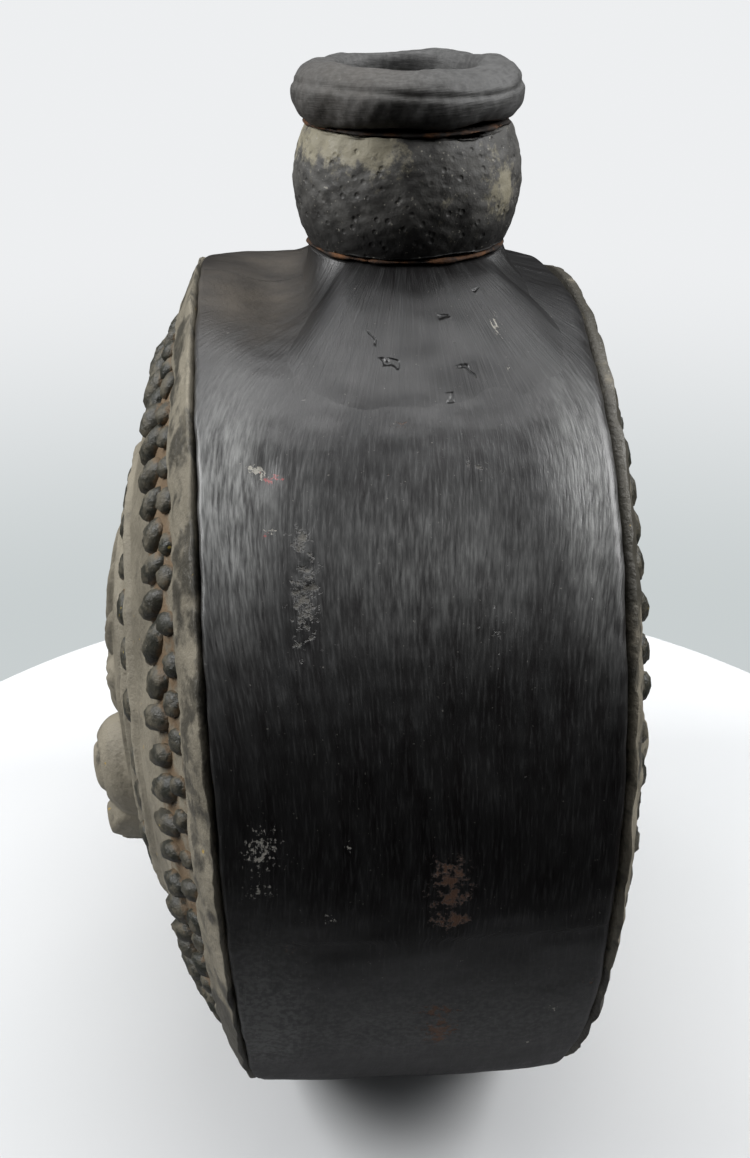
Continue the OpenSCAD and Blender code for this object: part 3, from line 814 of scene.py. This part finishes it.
class Tree:
    """A node tree under work: short calls that add shader nodes and hand back their outputs."""

    def __init__(self, tree):
        self.tree = tree

    def add(self, kind):
        """A new node of a kind."""
        return self.tree.nodes.new(f"ShaderNode{kind}")

    def link(self, value, socket):
        """Sets a socket to a number or colour, or links an output to it."""
        if isinstance(value, bpy.types.NodeSocket):
            self.tree.links.new(value, socket)
        else:
            socket.default_value = value

    def split(self, vector):
        """The three numbers of a vector."""
        node = self.add("SeparateXYZ")
        self.link(vector, node.inputs[0])
        return node.outputs[0], node.outputs[1], node.outputs[2]

    def math(self, kind, a, b=0.0):
        """One sum on numbers or outputs."""
        node = self.add("Math")
        node.operation = kind
        self.link(a, node.inputs[0])
        self.link(b, node.inputs[1])
        return node.outputs[0]

    def plus(self, a, b):
        """Sum of two numbers or outputs."""
        return self.math("ADD", a, b)

    def minus(self, a, b):
        """Difference of two numbers or outputs."""
        return self.math("SUBTRACT", a, b)

    def times(self, a, b):
        """Product of two numbers or outputs."""
        return self.math("MULTIPLY", a, b)

    def greatest(self, a, b, c, d):
        """Greatest of four outputs."""
        return self.math("MAXIMUM", self.math("MAXIMUM", a, b), self.math("MAXIMUM", c, d))

    def spread(self, value, low, high, to_low=0.0, to_high=1.0):
        """Maps low..high to to_low..to_high, held at the ends, with a soft start and stop."""
        node = self.add("MapRange")
        node.interpolation_type = "SMOOTHSTEP"
        for socket, number in zip(node.inputs[1:5], (low, high, to_low, to_high)):
            socket.default_value = number
        self.link(value, node.inputs[0])
        return node.outputs[0]

    def mix(self, amount, a, b, blend="MIX"):
        """Colour between a and b, or another blend of b over a."""
        node = self.add("Mix")
        node.data_type = "RGBA"
        node.blend_type = blend
        self.link(amount, node.inputs[0])
        for socket, colour in zip(node.inputs[6:8], (a, b)):
            self.link(colour if isinstance(colour, bpy.types.NodeSocket) else (*colour, 1), socket)
        return node.outputs[2]


class Finish(Tree):
    """A material under work. Noise is scaled per metre, at the piece's own place unless told otherwise."""

    def __init__(self, name):
        self.material = bpy.data.materials.new(name)
        self.material.use_nodes = True
        super().__init__(self.material.node_tree)
        self.shader = self.tree.nodes["Principled BSDF"]
        self.place = self.add("TexCoord").outputs["Object"]

    def layer(self, name):
        """The three numbers of a colour layer on the mesh."""
        node = self.add("Attribute")
        node.attribute_name = name
        return self.split(node.outputs["Vector"])

    def flat(self, x, y):
        """A place from two outputs, each scaled: (output, scale), (output, scale)."""
        node = self.add("CombineXYZ")
        self.link(self.times(*x), node.inputs[0])
        self.link(self.times(*y), node.inputs[1])
        return node.outputs[0]

    def noise(self, scale, detail=4.0, rough=0.55, at=None, twist=0.0):
        """Noise between about 0 and 1."""
        node = self.add("TexNoise")
        self.link(at or self.place, node.inputs["Vector"])
        node.inputs["Scale"].default_value = scale
        node.inputs["Detail"].default_value = detail
        node.inputs["Roughness"].default_value = rough
        node.inputs["Distortion"].default_value = twist
        return node.outputs["Fac"]

    def cells(self, scale):
        """Distance to the nearest of scattered points."""
        node = self.add("TexVoronoi")
        self.link(self.place, node.inputs["Vector"])
        node.inputs["Scale"].default_value = scale
        return node.outputs["Distance"]

    def coat(self, ground, colour, amount, most):
        """Lays a colour over the ground, by an amount times its most."""
        return self.mix(self.times(amount, most), ground, colour)

    def fleck(self, ground, colour, noise, low, high, most):
        """Lays a colour over the ground where a noise passes from low to high, by most at the end."""
        return self.mix(self.spread(noise, low, high, 0, most), ground, colour)

    def broken(self, mask, noise, low, high):
        """A soft mask with its edge made ragged: mask, plus 2.6 times what noise has over a half."""
        shaken = self.times(self.minus(noise, 0.5), 2.6)
        return self.spread(self.plus(mask, shaken), low, high)

    def done(self, colour, roughness, height, depth, specular):
        """Joins colour, roughness and a bump of a depth in metres to the shader."""
        bump_node = self.add("Bump")
        bump_node.inputs["Distance"].default_value = depth
        self.link(height, bump_node.inputs["Height"])
        self.link(colour, self.shader.inputs["Base Color"])
        self.link(roughness, self.shader.inputs["Roughness"])
        self.link(bump_node.outputs[0], self.shader.inputs["Normal"])
        self.shader.inputs["Specular IOR Level"].default_value = specular
        return self.material


def black_ground(f, fine, wide, grain, brown, painted_highlight, dust_and_reflection):
    """Colour of the burnished clay without scuffs: strokes, clouds, painted highlights, dust, painted
    reflection of the table, and fired brown.
    """
    ground = f.mix(f.spread(wide, 0.25, 0.75), BLACK_CLAY, GREY_CLAY)
    ground = f.fleck(ground, STROKE_GREY, fine, 0.5, 0.7, 0.75)
    ground = f.fleck(ground, CLOUD_GREY, f.noise(38, 4), 0.45, 0.75, 0.3)
    streak = f.plus(f.times(fine, 1.4), f.times(wide, 0.6))
    # Painted highlight, streaked along the strokes
    highlight_amount = f.times(painted_highlight, f.spread(streak, 0.6, 1.45, 0.08, 1.0))
    ground = f.coat(ground, PAINTED_HIGHLIGHT_GREY, highlight_amount, 0.8)
    # Dust, and painted reflection of the table on the lower front of the band
    ground = f.coat(ground, DUST_AND_REFLECTION_GREY, dust_and_reflection, f.spread(grain, 0.35, 0.7, 0.35, 0.85))
    return f.coat(ground, FIRED_BROWN, brown, f.spread(f.noise(130, 5), 0.3, 0.7, 0.55, 1.0))


def burnished_finish():
    """Black clay rubbed with a pebble: strokes in colour, gloss and bump, painted highlights, cracks and
    scuffs.
    """
    f = Finish("burnished_clay")
    across, along, _ = f.layer("stroke")
    cream, orange, rough = f.layer("marks_a")
    pink, pit, brown = f.layer("marks_b")
    painted_highlight, dust_and_reflection, _ = f.layer("marks_c")
    fine = f.noise(1.0, 4, 0.6, f.flat((across, 2.3), (along, 0.2)), 0.1)
    wide = f.noise(1.0, 3, 0.55, f.flat((across, 0.42), (along, 0.06)), 0.1)
    flakes = f.noise(1.0, 4, 0.7, f.flat((across, 1.4), (along, 0.9)))
    grain = f.noise(900, 3)
    crumb = f.noise(620, 4, 0.7)

    ground = black_ground(f, fine, wide, grain, brown, painted_highlight, dust_and_reflection)
    rough_mask = f.broken(rough, crumb, 0.5, 0.9)
    orange_mask = f.broken(orange, crumb, 0.6, 1.0)
    cream_mask = f.broken(cream, flakes, 0.7, 0.85)
    pink_mask = f.broken(pink, crumb, 0.7, 0.85)
    ground = f.coat(ground, SCUFF_TAN, rough_mask, 0.55)
    ground = f.coat(ground, SCUFF_ORANGE, orange_mask, 0.75)
    ground = f.coat(ground, SCUFF_CREAM, cream_mask, 0.85)
    ground = f.coat(ground, SCUFF_PINK, pink_mask, 0.9)
    ground = f.fleck(ground, SPECK_CREAM, f.noise(1500, 2), 0.72, 0.76, 0.35)
    crack = f.math("ABSOLUTE", f.minus(f.noise(120, 2, 0.4), 0.5))
    cracked = f.times(f.spread(crack, 0.006, 0.024, 1.0, 0.0), f.spread(pit, 0.5, 0.8))
    ground = f.mix(cracked, ground, CRACK_BLACK)

    matte = f.greatest(rough_mask, orange_mask, cream_mask, f.times(brown, 0.9))
    gloss = f.plus(f.spread(wide, 0.25, 0.8, 0.22, 0.32), f.times(fine, 0.2))
    gloss = f.plus(f.plus(gloss, f.times(dust_and_reflection, 0.25)), f.times(matte, 0.34))
    height = f.plus(f.times(fine, 0.75), f.times(wide, 0.7))
    height = f.minus(height, f.times(cracked, 1.8))
    height = f.minus(height, f.times(f.times(matte, crumb), 1.6))
    height = f.plus(height, f.times(grain, 0.16))
    return f.done(ground, gloss, height, 0.00016, 0.6)


def sandy_finish():
    """Dark sandy clay: coarse grains, pale grit, khaki dust in places and a black foot."""
    f = Finish("sandy_clay")
    dust, dark, _ = f.layer("marks_a")
    grain = f.noise(750, 4, 0.65)
    coarse = f.noise(230, 4, 0.6)
    pits = f.spread(f.cells(420), 0.08, 0.3)
    ground = f.mix(f.spread(coarse, 0.3, 0.7), SAND_DARK, SAND_LIGHT)
    ground = f.fleck(ground, SAND_GRAIN, grain, 0.6, 0.8, 0.5)
    ground = f.coat(ground, SAND_FOOT, dark, 0.8)
    ground = f.coat(ground, SAND_DUST, f.broken(dust, f.noise(330, 5, 0.7), 0.3, 0.9), 0.85)
    ground = f.fleck(ground, PALE_GRIT, f.noise(1300, 1), 0.7, 0.75, 0.6)
    height = f.plus(f.times(grain, 0.8), f.times(pits, 0.7))
    return f.done(ground, f.spread(coarse, 0.3, 0.7, 0.5, 0.72), height, 0.00028, 0.45)


def khaki_finish():
    """Pressed faces: khaki deposit on dark clay, orange soil among the pellets, dark worn high places."""
    f = Finish("khaki_clay")
    worn, soil, ridges = f.layer("face")
    grain = f.noise(700, 4, 0.65)
    patch = f.noise(160, 5, 0.6)
    worn_mask = f.broken(worn, patch, 0.4, 0.95)
    ground = f.mix(f.spread(f.noise(45, 5), 0.3, 0.7), KHAKI_DARK, KHAKI_LIGHT)
    ground = f.fleck(ground, KHAKI_PATCH, patch, 0.5, 0.75, 0.6)
    ground = f.coat(ground, FACE_SOIL, f.broken(soil, patch, 0.45, 0.95), 0.75)
    ground = f.coat(ground, FACE_WORN, worn_mask, 0.8)
    ground = f.coat(ground, RIDGE_PALE, ridges, f.spread(grain, 0.4, 0.7, 0.1, 0.5))
    ground = f.fleck(ground, FACE_OCHRE, f.noise(420, 2), 0.73, 0.77, 0.8)
    ground = f.fleck(ground, PALE_GRIT, f.noise(1500, 2), 0.7, 0.76, 0.4)
    height = f.plus(f.times(grain, 0.6), f.times(patch, 1.2))
    return f.done(ground, f.spread(worn_mask, 0, 1, 0.66, 0.42), height, 0.0006, 0.45)


def pellet_finish():
    """Pellets: green-black rubbed tops, with khaki and orange soil left round their feet."""
    f = Finish("pellet_clay")
    top, tone, _ = f.layer("pellet")
    patch = f.noise(330, 4, 0.6)
    foot_mask = f.broken(f.minus(1.0, top), patch, 0.6, 1.1)
    ground = f.mix(tone, PELLET_DARK, PELLET_LIGHT)
    ground = f.fleck(ground, PELLET_KHAKI, patch, 0.42, 0.66, 0.8)
    ground = f.coat(ground, PELLET_SOIL, foot_mask, 0.85)
    ground = f.fleck(ground, PELLET_OCHRE, f.noise(500, 2), 0.72, 0.76, 0.8)
    return f.done(ground, f.spread(patch, 0.3, 0.7, 0.34, 0.62), f.noise(520, 5, 0.65), 0.0006, 0.5)


def slip_finish():
    """Orange-brown slip, crumbly, with black where it was rubbed over."""
    f = Finish("slip")
    ground = f.mix(f.spread(f.noise(150, 4, 0.65), 0.44, 0.66), SLIP_BLACK, SLIP_ORANGE)
    return f.done(ground, 0.8, f.noise(800, 4), 0.0004, 0.3)


def table_finish():
    """White turntable, matte and very pale, but darker where glossy clay mirrors it."""
    f = Finish("white_table")
    colour = f.mix(f.spread(f.noise(6, 2), 0.3, 0.7), TABLE_GREY, TABLE_WHITE)
    colour = f.mix(f.add("LightPath").outputs["Is Glossy Ray"], colour, TABLE_MIRRORED)
    return f.done(colour, 0.7, f.noise(300, 2), 0.00002, 0.2)


# Camera, table and light

# Camera found from the photograph: its size and focal length in pixels, place in metres, right and ahead
PHOTO_PX = (750, 1158)
FOCAL_PX = 1264.1
CAMERA_PLACE = (-0.01988, -0.27037, 0.26888)
CAMERA_RIGHT = (0.99778, -0.06647, -0.00307)
CAMERA_AHEAD = (0.05665, 0.87276, -0.48485)

# Turntable: radius and thickness in millimetres
TABLE_R = 200.0
TABLE_T = 14.0

# Soft panels of light: name, place, width and height in metres, power in watts; and the point they look at
LIGHTS = [
    ("left_panel", (-0.66, -0.02, 0.62), 0.4, 0.5, 6.6),
    ("right_panel", (0.66, -0.02, 0.62), 0.4, 0.5, 6.0),
    ("top_panel", (0.0, 0.2, 0.9), 0.6, 0.4, 2.6),
]
LIT_POINT = (0, 0, 0.12)

# Backdrop as the camera sees it, low and high; and the room as all other rays see it, dark low down and
# bright overhead, times a share over the middle and at the sides
BACKDROP_LOW = (0.58, 0.62, 0.625)
BACKDROP_HIGH = (0.85, 0.862, 0.875)
ROOM_DARK = (0.006, 0.006, 0.006)
ROOM_BRIGHT = (0.8, 0.8, 0.8)
MIDDLE_SHARE = (0.3, 0.3, 0.31)
SIDE_SHARE = (1.0, 1.02, 1.04)


def make_camera():
    """Camera at the photograph's place. Its lens is the focal length as a share of the longer side of the
    photograph, times the sensor's width."""
    right = Vector(CAMERA_RIGHT).normalized()
    ahead = Vector(CAMERA_AHEAD).normalized()
    upward = right.cross(ahead).normalized()
    camera = bpy.data.cameras.new("camera")
    camera.sensor_width = 36
    camera.lens = FOCAL_PX * camera.sensor_width / max(PHOTO_PX)
    camera.clip_start = 0.01
    body = add_object("camera", camera)
    turn = Matrix((right, upward, -ahead)).transposed().to_4x4()
    body.matrix_world = Matrix.Translation(CAMERA_PLACE) @ turn
    bpy.context.scene.camera = body


def make_table():
    """Round white turntable under the flask, a low disc with a rounded edge."""
    columns = 180
    flat = [(0.5, 0), (60, 0), (120, 0), (TABLE_R - 3, 0)]
    rings = flat + [(TABLE_R - 0.8, -0.8), (TABLE_R, -3), (TABLE_R, -TABLE_T)]
    a = full_turn(columns)
    points = np.concatenate([np.stack([r * np.cos(a), r * np.sin(a), z + 0 * a], 1) for r, z in rings])
    faces = [face[::-1] for face in grid_faces(len(rings), columns, False)]
    faces.append(list(range(columns)))
    table = add_mesh("turntable", points, faces, table_finish())


def add_light(name, place, width, height, power):
    """Soft panel that looks at the middle of the flask."""
    light = bpy.data.lights.new(name, "AREA")
    light.shape = "RECTANGLE"
    light.size = width
    light.size_y = height
    light.energy = power
    body = add_object(name, light)
    body.location = place
    body.rotation_euler = (Vector(LIT_POINT) - Vector(place)).to_track_quat("-Z", "Y").to_euler()


def make_world():
    """Pale backdrop for the camera, brighter upwards. All other rays meet a room that is dark low down and
    bright overhead, less so over the middle than at the sides."""
    world = bpy.data.worlds.new("studio")
    bpy.context.scene.world = world
    world.use_nodes = True
    t = Tree(world.node_tree)
    t.tree.nodes.clear()
    x, y, z = t.split(t.add("TexCoord").outputs["Generated"])
    shown = t.mix(t.spread(z, -0.5, -0.24), BACKDROP_LOW, BACKDROP_HIGH)
    height = t.plus(z, t.times(y, 0.12))
    overhead = t.mix(t.spread(height, 0.3, 0.95), ROOM_DARK, ROOM_BRIGHT)
    sideways = t.mix(t.spread(t.math("ABSOLUTE", x), 0.05, 0.5), MIDDLE_SHARE, SIDE_SHARE)
    room = t.mix(1.0, overhead, sideways, "MULTIPLY")
    background = t.add("Background")
    t.link(t.mix(t.add("LightPath").outputs["Is Camera Ray"], room, shown), background.inputs[0])
    t.link(background.outputs[0], t.add("OutputWorld").inputs[0])


burnished = burnished_finish()
sandy = sandy_finish()
khaki = khaki_finish()
pellet_clay = pellet_finish()
slip_clay = slip_finish()

make_camera()
make_band()
make_neck()
make_bulb()
make_lip()
make_slip("neck_slip_ring", "neck_slip", NECK_TOP, BORE_R, outer_r=20.7, seed=51)
make_slip("lip_slip_ring", "lip_slip", LIP_Z - SLIP_T, MOUTH_R, outer_r=20.9, seed=52)

for face in (Face(-1, "left", crown=28.0, seed=71), Face(1, "right", crown=17.5, seed=83)):
    make_face(face)
    for index, row in enumerate(PELLET_ROWS):
        make_pellets(face, *row, face.seed + 20 + index)
    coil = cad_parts[f"{face.word}_inner_coil"]
    coil.data.materials.clear()
    coil.data.materials.append(sandy)

make_table()
for panel in LIGHTS:
    add_light(*panel)
make_world()
bpy.context.scene.view_settings.view_transform = "Standard"
